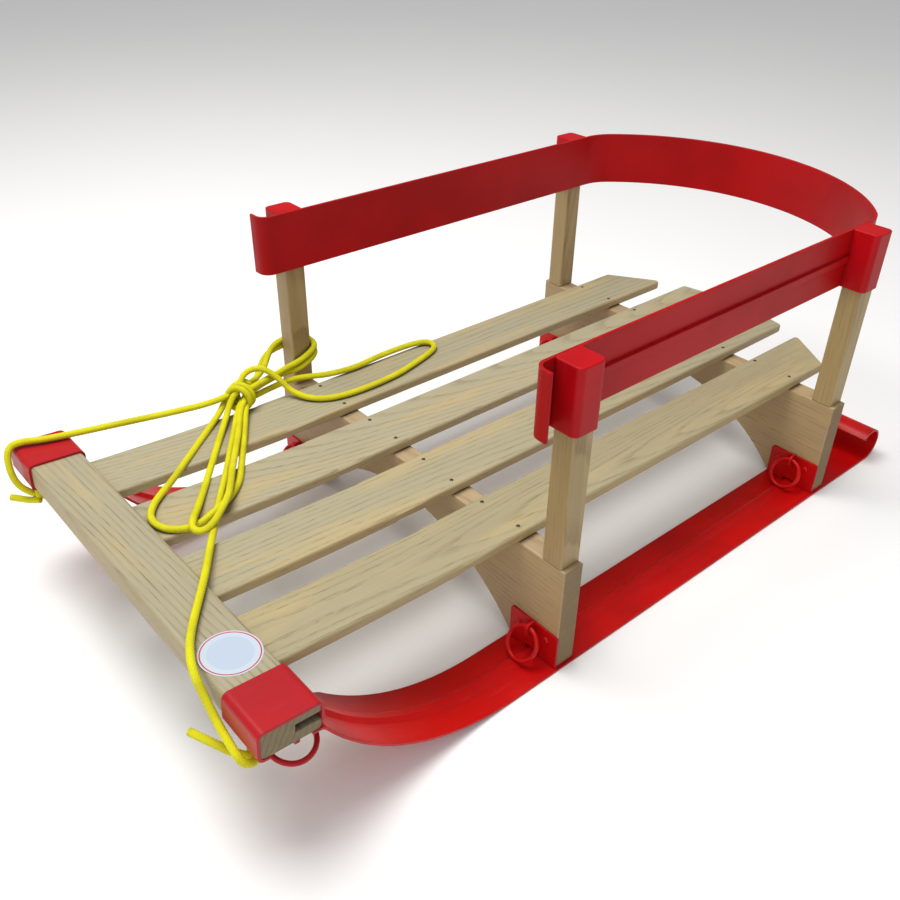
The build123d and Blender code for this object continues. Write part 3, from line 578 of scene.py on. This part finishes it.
# Rope
@dataclass
class Braid:
    """A round braid along a smooth line: two families of yarns that pass over and under each other.

    Args:
        diameter: the braid's outer diameter.
        yarns: how many yarns each family has round the braid.
        steps: mesh divisions of one yarn's width.
        crossing: the distance along the braid from one crossing to the next.
        depth: how deep the gaps between the yarns lie.
    """

    diameter: float = 5.5 * MM
    yarns: int = 8
    steps: int = 4
    crossing: float = 2.7 * MM
    depth: float = 0.5 * MM

    def centreline(self, name: str, points: list[Vector]) -> np.ndarray:
        """The smooth line of a route.

        Args:
            name: the name of the curve while it is read.
            points: the route's points, the control points of its line.

        Returns:
            The line's points, one row each, as the spline gives them.
        """
        curve = bpy.data.curves.new(name + "_route", "CURVE")
        curve.dimensions = "3D"
        spline = curve.splines.new("NURBS")
        spline.points.add(len(points) - 1)
        for knot, point in zip(spline.points, points):
            knot.co = (*point, 1.0)
        spline.order_u = 3
        spline.use_endpoint_u = True
        spline.resolution_u = 24
        holder = bpy.data.objects.new(name + "_route", curve)
        bpy.context.scene.collection.objects.link(holder)
        mesh = bpy.data.meshes.new_from_object(holder)
        line = np.array([vertex.co for vertex in mesh.vertices], float)
        bpy.data.objects.remove(holder)
        bpy.data.curves.remove(curve)
        bpy.data.meshes.remove(mesh)
        return line

    def rings(self, line: np.ndarray) -> tuple[np.ndarray, np.ndarray, np.ndarray]:
        """Evenly spaced ring centres along a line, with two crosswise directions that don't twist."""
        along = np.concatenate([[0.0], np.cumsum(np.linalg.norm(np.diff(line, axis=0), axis=1))])
        keep = np.concatenate([[True], np.diff(along) > 1e-7])
        line, along = line[keep], along[keep]
        count = max(8, round(along[-1] / (self.crossing / self.steps)))
        at = np.linspace(0.0, along[-1], count + 1)
        centres = np.stack([np.interp(at, along, line[:, i]) for i in range(3)], 1)
        ahead = np.gradient(centres, axis=0)
        ahead /= np.linalg.norm(ahead, axis=1)[:, None]
        side = np.cross(ahead[0], (0.0, 0.0, 1.0) if abs(ahead[0][2]) < 0.9 else (1.0, 0.0, 0.0))
        sides = []
        for direction in ahead:
            side = side - direction * side.dot(direction)
            side /= np.linalg.norm(side)
            sides.append(side)
        sides = np.array(sides)
        return centres, sides, np.cross(ahead, sides)

    def mesh(self, name: str, line: np.ndarray) -> tuple[bpy.types.Mesh, np.ndarray]:
        """The braid's surface along a line.

        Args:
            name: the mesh's name.
            line: the points of the line.

        Returns:
            The mesh, closed at both ends, and the centres of its rings.
        """
        centres, sides, ups = self.rings(line)
        around, count = self.yarns * self.steps, len(centres)
        turn, row = np.meshgrid(np.arange(around), np.arange(count))
        first = (turn + row) / self.steps
        second = (turn - row) / self.steps
        over = (np.floor(first + 1e-6) + np.floor(second + 1e-6)) % 2
        f, s = np.mod(first + 1e-6, 1) - 0.5, np.mod(second + 1e-6, 1) - 0.5
        across, run = np.where(over > 0.5, s, f), np.where(over > 0.5, f, s)
        proud = np.sqrt(np.clip(1 - (1.7 * across) ** 2, 0, 1)) * np.cos(math.pi * run * 0.8)
        proud = np.clip(proud, 0, 1)
        radius = self.diameter / 2 - self.depth * (1 - proud)
        angle = turn * 2 * math.pi / around
        spots = centres[:, None] + radius[..., None] * (
            np.cos(angle)[..., None] * sides[:, None] + np.sin(angle)[..., None] * ups[:, None]
        )
        low = (row[:-1] * around + turn[:-1]).ravel()
        next_turn = (row[:-1] * around + (turn[:-1] + 1) % around).ravel()
        quads = np.stack([low, next_turn, next_turn + around, low + around], 1)
        ends = [list(range(around))[::-1], list(range((count - 1) * around, count * around))]
        mesh = bpy.data.meshes.new(name)
        mesh.from_pydata(spots.reshape(-1, 3).tolist(), [], quads.tolist() + ends)
        height = mesh.attributes.new("proud", "FLOAT", "POINT")
        height.data.foreach_set("value", proud.astype(np.float32).ravel())
        lay = mesh.uv_layers.new(name="lay")
        t, r = turn[:-1].ravel(), row[:-1].ravel()
        corners = [(t + i, r + j) for i, j in ((0, 0), (1, 0), (1, 1), (0, 1))]
        uv = np.stack([np.stack([(a + b) / self.steps, (a - b) / self.steps], 1) for a, b in corners], 1)
        caps = np.zeros((2 * around, 2))
        lay.data.foreach_set("uv", np.concatenate([uv.reshape(-1, 2), caps]).astype(np.float32).ravel())
        mesh.polygons.foreach_set("use_smooth", [True] * len(mesh.polygons))
        return mesh, centres

    def lay(
        self, name: str, points: list[Vector], material: bpy.types.Material,
    ) -> tuple[bpy.types.Object, np.ndarray]:
        """A braided length as a piece of the scene, with the centres of its rings."""
        mesh, centres = self.mesh(name, self.centreline(name, points))
        mesh.materials.append(material)
        piece = bpy.data.objects.new(name, mesh)
        bpy.context.scene.collection.objects.link(piece)
        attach(piece, BODY)
        return piece, centres


@dataclass
class PullingRope:
    """The yellow rope: one cord from ring to ring, a long loop, two turns round a post, and tails."""

    braid: Braid = field(default_factory=Braid)
    lead_left: list[Point] = field(default_factory=lambda: [
        (237, 166.5, 78), (244.5, 171.5, 82), (251, 172, 90), (251, 160, 95.5), (250, 145.5, 98.5),
        (249, 132.5, 106), (249.2, 121.5, 118), (243.5, 106.5, 121.5), (232.5, 88, 119.6),
        (206, 54, 118), (184, 21, 114), (170, 0.5, 111), (158.8, -16.9, 109.2),
    ])
    up_to_knot: list[Point] = field(default_factory=lambda: [
        (143.8, -37, 108), (128, -58, 107), (111, -82, 107), (93, -106.5, 108), (74, -131.5, 111.5),
        (63, -140, 113.5), (54.5, -143.5, 117), (54.5, -146, 124), (63, -148.5, 125), (71, -149.8, 120),
    ])
    outer_loop: list[Point] = field(default_factory=lambda: [
        (76, -149.5, 112.5), (86, -141, 108.5), (102.6, -127.8, 107), (134.6, -100.7, 107.3),
        (165.7, -72, 109.8), (187.3, -54.7, 111.7), (197.8, -41.5, 112.6), (200.5, -33, 112.8),
        (200, -24, 112.8), (195.2, -16, 112.3), (185.4, -11.4, 111), (175.7, -9.7, 111.2),
        (164.5, -10.3, 115.4), (152.8, -17.2, 113.2), (138, -29.6, 109.2), (125, -42.6, 107.3),
        (116.3, -55.6, 107), (100.8, -79, 107), (85, -103.2, 107.6), (72.5, -123.5, 109.2),
        (64, -134.5, 111.5), (56.5, -137.5, 115), (55.5, -140, 120.5), (62, -141.5, 123.5),
        (70.5, -140.5, 121),
    ])
    inner_loop: list[Point] = field(default_factory=lambda: [
        (77, -139.5, 114.5), (91.8, -123.8, 108), (107.6, -105, 106.9), (127.7, -79.8, 106.9),
        (147, -54.7, 108.3), (161, -36.5, 110), (170.5, -23.5, 112.8), (180, -10.5, 117),
        (184.5, -2.5, 115.4), (180, 3, 114.3), (170, 1.2, 115.8), (159.5, -6.5, 118),
        (146, -20.5, 116.2), (135.5, -36, 114), (124.8, -53.3, 112), (106.2, -79.8, 110.8),
        (89, -104.7, 110.4), (75, -127, 112),
    ])
    lead_right: list[Point] = field(default_factory=lambda: [
        (67, -133, 115), (59.5, -138, 117.5), (58.5, -144, 119.5), (66.5, -147, 119.5),
        (77, -144.5, 118), (96, -145.6, 116.8), (130, -152.8, 117.2), (160, -159.5, 118),
        (196, -167, 119), (222, -171.5, 120.6), (239.5, -176.5, 123.2), (249, -175.5, 121.5),
        (253, -170.5, 109.5), (252, -167, 94.5), (245, -165.5, 83.5), (236.5, -164.5, 77),
    ])
    long_loop: list[Point] = field(default_factory=lambda: [
        (66, -142, 119), (62.5, -145.5, 129.5), (50, -149.5, 133), (38, -145.5, 131.5), (29, -137, 121),
        (22.5, -130, 109.5), (14, -112, 106.9), (-3, -100.5, 107), (-30, -97, 107), (-70, -98.5, 107),
        (-104, -107.5, 107), (-123, -113.5, 107), (-133.5, -119.5, 107), (-135.5, -129, 107.2),
        (-127, -135, 107.6), (-108, -136.5, 108), (-78, -136.5, 108), (-50, -133.5, 107.2),
        (-22, -137, 107.8), (-4, -146.5, 107.8), (10, -151.5, 107.4), (25, -150.3, 107.6),
        (41, -146.3, 108.8), (57, -141.5, 110),
    ])
    upper_turn: list[Point] = field(default_factory=lambda: [
        (58, -137.5, 121.5), (44, -142, 121.5), (30, -147, 120.2), (18, -152.5, 118.4),
        (8, -156.3, 118), (0, -155, 119.8), (-9, -154.9, 122.8), (-17.5, -154.4, 127.5),
        (-22.8, -157.5, 131), (-22.8, -170, 132), (-21.8, -181.8, 132), (-9, -182, 131.8),
        (2.5, -182.2, 130.5), (10, -181.5, 126.5), (17, -177, 121.5), (25, -169, 118.5),
        (36, -159.5, 118.2), (47, -152, 119), (58, -145.5, 120),
    ])
    lower_turn: list[Point] = field(default_factory=lambda: [
        (56, -141.5, 115.8), (43, -146.8, 115.8), (30, -152.3, 114.3), (18, -157, 112.6),
        (8, -158.3, 111.8), (0, -155, 113.4), (-9, -154.9, 115.8), (-17.5, -154.4, 120.5),
        (-22.8, -157.5, 124.5), (-22.8, -170, 126), (-21.8, -181.8, 126), (-9, -182, 125.8),
        (4, -184, 124), (13, -186, 119.5), (21, -182, 114.8), (29.5, -173, 112.5), (39, -162.5, 111.8),
        (49, -154.5, 112.2), (59, -148.5, 113),
    ])
    tail_left: list[Point] = field(default_factory=lambda: [
        (240, 166.5, 80.5), (246, 160, 80.3), (253, 143.5, 80.5), (260, 126, 80.3),
    ])
    tail_right: list[Point] = field(default_factory=lambda: [
        (239.5, -159.5, 76.8), (243, -163.5, 76.2), (246.5, -167.5, 75.6), (251, -173, 75.8),
        (256, -178.5, 76.4),
    ])
    collar_at: Point = (66.5, -140.0, 116.0)
    collar_run: Point = (-0.86, -0.5, 0.08)
    collar_radius: float = 10.4
    collar_turns: float = 2.6
    hitch_at: Point = (236.5, 165.0, 80.5)
    hitch_run: Point = (0.75, 0.15, 0.6)
    hitch_radius: float = 4.2
    hitch_turns: float = 1.6
    pitch: float = 5.3  # from one turn of a winding to the next, in mm
    steps: int = 8  # points to a turn
    shortest_cord: float = 6.0  # in diameters; a shorter end is too stubby to count as a cord

    def winding(
        self, centre: Point, run: Vector, radius: float, turns: float, start: float,
    ) -> list[Vector]:
        """Points of a snug winding round a bundle, tucked under itself at both ends.

        Args:
            centre: the winding's middle, in mm from the front bunk's front face.
            run: the way the bundle runs through it.
            radius: from the bundle's middle to the middle of the wound rope, in mm.
            turns: how many times it goes round.
            start: the angle at which it starts, in degrees.

        Returns:
            The winding's points, in metres.
        """
        middle = place([centre])[0]
        turn = aim(run)
        count = round(turns * self.steps)
        points = []
        for i in range(count + 1):
            share = i / count
            angle = math.radians(start) + share * turns * 2 * math.pi
            tuck = min(1.0, 4 * min(share, 1 - share) + 0.45)
            slant = 1.7 * math.sin(angle) + self.pitch * turns * (share - 0.5)
            uneven = 1.0 + 0.07 * math.sin(2 * angle + 0.7)
            out = radius * tuck
            point = Vector((math.cos(angle) * out * uneven, math.sin(angle) * out, slant)) * MM
            points.append(middle + turn @ point)
        return points

    def knots(self, material: bpy.types.Material) -> dict[str, bpy.types.Object]:
        """The wound collar on the slat and the two hitches on the rings."""
        made = {}
        run = Vector(self.collar_run).normalized()
        points = self.winding(self.collar_at, run, self.collar_radius, self.collar_turns, 200.0)
        made["knot"], _ = self.braid.lay("knot_collar", points, material)
        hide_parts("rope_knot")
        for name, side in (("left", 1), ("right", -1)):
            x, y, z = self.hitch_at
            ahead, out, up = self.hitch_run
            run = Vector((ahead, out * side, up)).normalized()
            points = self.winding(
                (x, y * side, z), run, self.hitch_radius, self.hitch_turns, 90.0 * side,
            )
            made[name], _ = self.braid.lay(f"hitch_{name}", points, material)
            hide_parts(f"rope_hitch_{name}")
        return made

    def build(self, material: bpy.types.Material) -> None:
        knots = self.knots(material)
        main = self.lead_left + self.up_to_knot + self.outer_loop + self.inner_loop + self.lead_right
        stands_for = ("rope_lead_left", "rope_hank", "rope_lead_right")
        collar = [knots["knot"]]
        cords = (
            ("pull_rope", main, stands_for, "object", list(knots.values())),
            ("long_loop", self.long_loop, ("rope_loop",), "object", collar),
            ("post_turn_upper", self.upper_turn, ("rope_wrap_upper",), "object", collar),
            ("post_turn_lower", self.lower_turn, ("rope_wrap_lower",), "object", collar),
            ("tail_left", self.tail_left, ("rope_tail_left",), "bare", [knots["left"]]),
            ("tail_right", self.tail_right, ("rope_tail_right",), "bare", [knots["right"]]),
        )
        for name, route, nodes, end, with_pieces in cords:
            points = place(route)
            piece, centres = self.braid.lay(name, points, material)
            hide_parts(*nodes)


# Deck
@dataclass
class Deck:
    """Boards, slats and nails."""

    nail_rows: tuple[float, float] = (-5.5, -355.0)
    nail_spread: tuple[float, ...] = (19.5, 55.5, 91.5, 130.0)
    slat_top: float = 104.0
    nail_radius: float = 1.7
    nail_proud: float = 0.05  # middle of a head over the slat
    nail_stray: float = 2.2  # how far the nails stray from their row

    def boards(self) -> list[tuple[str, AshFinish]]:
        """Each wooden node with its own cut of ash."""
        cool, warm = (170, 163, 136), (138, 125, 92)
        pale, brown = (165, 156, 125), (132, 114, 78)
        along, across = Grain.LENGTHWISE, Grain.CROSSWISE
        bar = ((166, 159, 133), (128, 114, 82))
        front, rear = ((174, 152, 120), (136, 108, 74)), ((170, 148, 116), (134, 106, 72))
        cuts = {
            "crossbar": (across, (0.3, -0.19, -0.045), (0, 0.03, 0.05), 0.0042, 0.4, *bar),
            "slat_1": (along, (0.1, 0.17, 0.03), (0, 0.05, -0.02), 0.0025, 0.3, cool, warm),
            "slat_2": (along, (0.4, 0.045, -0.075), (0, 0.03, 0.06), 0.0028, 0.34, cool, warm),
            "slat_3": (along, (0.7, -0.08, 0.05), (0, -0.02, -0.05), 0.0026, 0.3, (168, 161, 133), warm),
            "slat_4": (along, (0.2, -0.13, -0.11), (0, 0.03, -0.05), 0.003, 0.26, pale, brown),
            "bunk_front": (across, (0.9, -0.06, 0.13), (0, 0.03, 0.02), 0.0042, 0.24, *front),
            "bunk_rear": (across, (0.5, 0.3, 0.1), (0, -0.03, 0.03), 0.0042, 0.24, *rear),
        }
        made = [(node, AshFinish(f"Ash {node}", *cut)) for node, cut in cuts.items()]
        for index, end in enumerate(("front", "rear")):
            for other, side in enumerate(("left", "right")):
                heart = (0.2 * index + 0.3 * other, -0.12 + 0.22 * index, 0.03 - 0.24 * other)
                finish = AshFinish(
                    f"Ash post {end} {side}", Grain.UPRIGHT, heart, (0, 0.03, 0.05), 0.0034, 0.5,
                    (164, 142, 98), (126, 98, 54),
                )
                made.append((f"post_{end}_{side}", finish))
        return made

    def nails(self, material: bpy.types.Material) -> bpy.types.Object:
        """The nail heads, each slightly domed and set a hair below the wood."""
        bm = bmesh.new()
        radius = self.nail_radius * MM
        for row in self.nail_rows:
            for spread in self.nail_spread:
                for side in (1, -1):
                    stray = self.nail_stray * math.sin(7 * spread + row + side)
                    spot = place([(row + stray, side * spread, self.slat_top + self.nail_proud)])[0]
                    made = bmesh.ops.create_cone(
                        bm, cap_ends=True, segments=20, radius1=radius, radius2=radius * 0.86,
                        depth=0.5 * MM, matrix=Matrix.Translation(spot),
                    )
                    faces = {face for vert in made["verts"] for face in vert.link_faces}
                    top = [f for f in faces if len(f.verts) > 4 and f.calc_center_median().z > spot.z]
                    bmesh.ops.inset_region(bm, faces=top, thickness=0.6 * MM, depth=0.14 * MM)
                    bmesh.ops.inset_region(bm, faces=top, thickness=0.5 * MM, depth=0.04 * MM)
        return finished(bm, "deck_nails", material)

    def build(self, effects: Effects, nail: bpy.types.Material) -> None:
        """Dresses the boards and adds the nails."""
        for node, finish in self.boards():
            dress(node, finish.material(effects))
        self.nails(nail)


def dress(node: str, material: bpy.types.Material) -> None:
    """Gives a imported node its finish."""
    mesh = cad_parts[node].data
    mesh.materials.clear()
    mesh.materials.append(material)
    log.info("%s dressed in %s", node, material.name)


# Steel
@dataclass
class SteelWork:
    """Runners, brackets, rings and lugs, with the screws of the brackets."""

    screw_out: tuple[float, float] = (171.5, 143.5)
    screw_height: float = 23.6
    plates: tuple[float, float] = (1.6, -347.9)
    head_radius: float = 2.7
    recess_radius: float = 0.9

    def screws(self, material: bpy.types.Material) -> bpy.types.Object:
        """Domed screw heads on the leg brackets, each with a round recess."""
        bm = bmesh.new()
        for plate in self.plates:
            for side in (1, -1):
                for index, out in enumerate(self.screw_out):
                    spot = place([(plate, side * out, self.screw_height)])[0]
                    head = bmesh.new()
                    radius = self.head_radius * MM
                    bmesh.ops.create_uvsphere(head, u_segments=24, v_segments=12, radius=radius)
                    bmesh.ops.bisect_plane(
                        head, geom=head.verts[:] + head.edges[:] + head.faces[:], plane_co=(0, 0, 0),
                        plane_no=(0, 0, -1), clear_outer=True,
                    )
                    bmesh.ops.scale(head, vec=(1, 1, 0.5), verts=head.verts)
                    near = self.recess_radius * MM
                    recess = [f for f in head.faces if f.calc_center_median().xy.length < near]
                    bmesh.ops.inset_region(head, faces=recess, thickness=0.2 * MM, depth=-0.5 * MM)
                    spin = Matrix.Rotation(0.7 * index + side + plate, 4, "Z")
                    turn = Matrix.Rotation(math.radians(90), 4, "Y")
                    seat = Matrix.Translation(spot) @ turn @ spin
                    bmesh.ops.transform(head, matrix=seat, verts=head.verts)
                    part = bpy.data.meshes.new("screw")
                    head.to_mesh(part)
                    head.free()
                    bm.from_mesh(part)
                    bpy.data.meshes.remove(part)
        return finished(bm, "bracket_screws", material)

    def build(self, effects: Effects) -> None:
        """Dresses the steel and adds the screws."""
        enamel = RedFinish(
            "Red enamel", (192, 8, 9), (150, 5, 7), (208, 50, 46), 0.3, 420.0, 0.00012, 0.35,
            (18.0, 240.0, 240.0), 0.07, True, 0.317, 0.2,
        ).material(effects)
        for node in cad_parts:
            if node.startswith(("runner_", "bracket_", "ring_", "bar_ring_", "bar_lug_")):
                dress(node, enamel)
        screws = self.screws(enamel)


# Plastic
@dataclass
class SeatRail:
    """The plastic rail round the seat and the caps over the posts."""

    def build(self, effects: Effects) -> None:
        """Dresses the rail and the caps."""
        rail = RedFinish(
            "Red rail plastic", (172, 6, 12), (140, 4, 8), (196, 36, 44), 0.36, 900.0, 0.00004, 0.25,
            (14.0, 14.0, 520.0), 0.025, False,
        ).material(effects)
        cap = RedFinish(
            "Red cap plastic", (178, 8, 18), (146, 4, 10), (204, 56, 66), 0.32, 650.0, 0.00008, 0.2,
            (90.0, 90.0, 30.0), 0.035, False,
        ).material(effects)
        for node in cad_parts:
            if node.startswith("cap_"):
                dress(node, cap)
        dress("rail", rail)


# Sticker
@dataclass
class Sticker:
    """The round blank sticker near the bar's left end."""

    at: Point = (219.0, 118.0, 0.0)
    radius: float = 19.5 * MM
    bar_edge: tuple[float, float] = (204.7, 95.0)
    bar_thick: float = 19.0
    tilt: float = 3.67

    def build(self, effects: Effects) -> None:
        """Lays the sticker on the bar's top."""
        turn = Matrix.Rotation(math.radians(-self.tilt), 4, "Y")
        along = 20.0
        x, z = self.bar_edge
        rise = math.radians(self.tilt)
        top_x = x + along * math.cos(rise) - self.bar_thick * math.sin(rise)
        top_z = z + along * math.sin(rise) + self.bar_thick * math.cos(rise)
        spot = place([(top_x, self.at[1], top_z)])[0]
        bm = bmesh.new()
        bmesh.ops.create_circle(bm, cap_ends=True, segments=72, radius=self.radius)
        made = bmesh.ops.extrude_face_region(bm, geom=bm.faces[:])
        lifted = [g for g in made["geom"] if isinstance(g, bmesh.types.BMVert)]
        bmesh.ops.translate(bm, vec=(0, 0, 0.14 * MM), verts=lifted)
        bmesh.ops.transform(bm, matrix=Matrix.Translation(spot) @ turn, verts=bm.verts)
        finish = LabelFinish(tuple(spot), self.radius)
        finished(bm, "blank_sticker", finish.material(effects), smooth=False)


# Studio
@dataclass(frozen=True)
class Lamp:
    """One soft square light that faces the sled.

    Args:
        name: the light's name.
        at: where it hangs, in metres.
        size: its side, in metres.
        power: its power, in watts.
        tint: its colour.
        mirrored: how much of it mirrors show.
    """

    name: str
    at: Point
    size: float
    power: float
    tint: Point
    mirrored: float
    target: Point = (0.0, 0.0, 0.1)

    def hang(self) -> None:
        """Hangs the light."""
        data = bpy.data.lights.new(self.name, "AREA")
        data.shape = "SQUARE"
        data.size = self.size
        data.energy = self.power
        data.color = self.tint
        data.specular_factor = self.mirrored
        lamp = bpy.data.objects.new(self.name, data)
        bpy.context.scene.collection.objects.link(lamp)
        turn = (Vector(self.target) - Vector(self.at)).to_track_quat("-Z", "Y").to_matrix().to_4x4()
        lamp.matrix_world = Matrix.Translation(self.at) @ turn


@dataclass
class Studio:
    """Camera, floor and lights. In mirrors the sky is darker than to the eye."""

    eye: Point = (0.50266, 0.50340, 0.53002)
    right: Point = (-0.75522, 0.65522, 0.01799)
    up: Point = (-0.35821, -0.43556, 0.82581)
    back: Point = (0.54893, 0.61723, 0.56366)
    lens: float = 37.69
    shift: tuple[float, float] = (-0.0087, 0.0101)
    sky: float = 0.5
    sky_lost: float = 0.65  # share of the sky that mirrors don't show
    lamps: tuple[Lamp, ...] = (
        Lamp("key", (0.35, -0.25, 1.8), 1.1, 32.0, (1.0, 0.985, 0.95), 1.0),
        Lamp("fill", (1.4, 1.0, 0.9), 1.2, 5.0, (0.95, 0.97, 1.0), 0.2),
    )

    def camera(self) -> None:
        """Stands the camera where the photograph was taken."""
        data = bpy.data.cameras.new("camera")
        data.lens = self.lens
        data.sensor_width = 36.0
        data.shift_x, data.shift_y = self.shift
        data.clip_start = 0.01
        camera = bpy.data.objects.new("camera", data)
        bpy.context.scene.collection.objects.link(camera)
        turn = Matrix((self.right, self.up, self.back)).transposed().to_4x4()
        camera.matrix_world = Matrix.Translation(self.eye) @ turn
        bpy.context.scene.camera = camera

    def build(self, effects: Effects) -> None:
        """Sets up the studio."""
        self.camera()
        bm = bmesh.new()
        bmesh.ops.create_grid(bm, x_segments=1, y_segments=1, size=FAR)
        mesh = bpy.data.meshes.new("studio_floor")
        bm.to_mesh(mesh)
        bm.free()
        mesh.materials.append(FloorFinish().material(effects))
        floor = bpy.data.objects.new("studio_floor", mesh)
        bpy.context.scene.collection.objects.link(floor)
        world = bpy.data.worlds.new("studio")
        world.use_nodes = True
        background = world.node_tree.nodes["Background"]
        background.inputs["Color"].default_value = (1.0, 1.0, 1.0, 1.0)
        sky = Wiring(world.node_tree)
        mirror = sky.add("LightPath").outputs["Is Glossy Ray"]
        strength = sky.math("MULTIPLY_ADD", mirror, -self.sky * self.sky_lost, self.sky)
        sky.feed(background.inputs["Strength"], strength)
        bpy.context.scene.world = world
        for lamp in self.lamps:
            lamp.hang()
        bpy.context.scene.view_settings.view_transform = "Standard"


def main() -> None:
    """Builds the scene's pieces in order."""
    logging.basicConfig(level=logging.INFO, format="%(name)s: %(message)s")
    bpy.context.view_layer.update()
    effects = Effects()
    Studio().build(effects)
    PullingRope().build(RopeFinish().material(effects))
    Deck().build(effects, NailFinish().material(effects))
    SteelWork().build(effects)
    SeatRail().build(effects)
    Sticker().build(effects)
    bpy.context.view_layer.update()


if __name__ == "__main__":
    main()
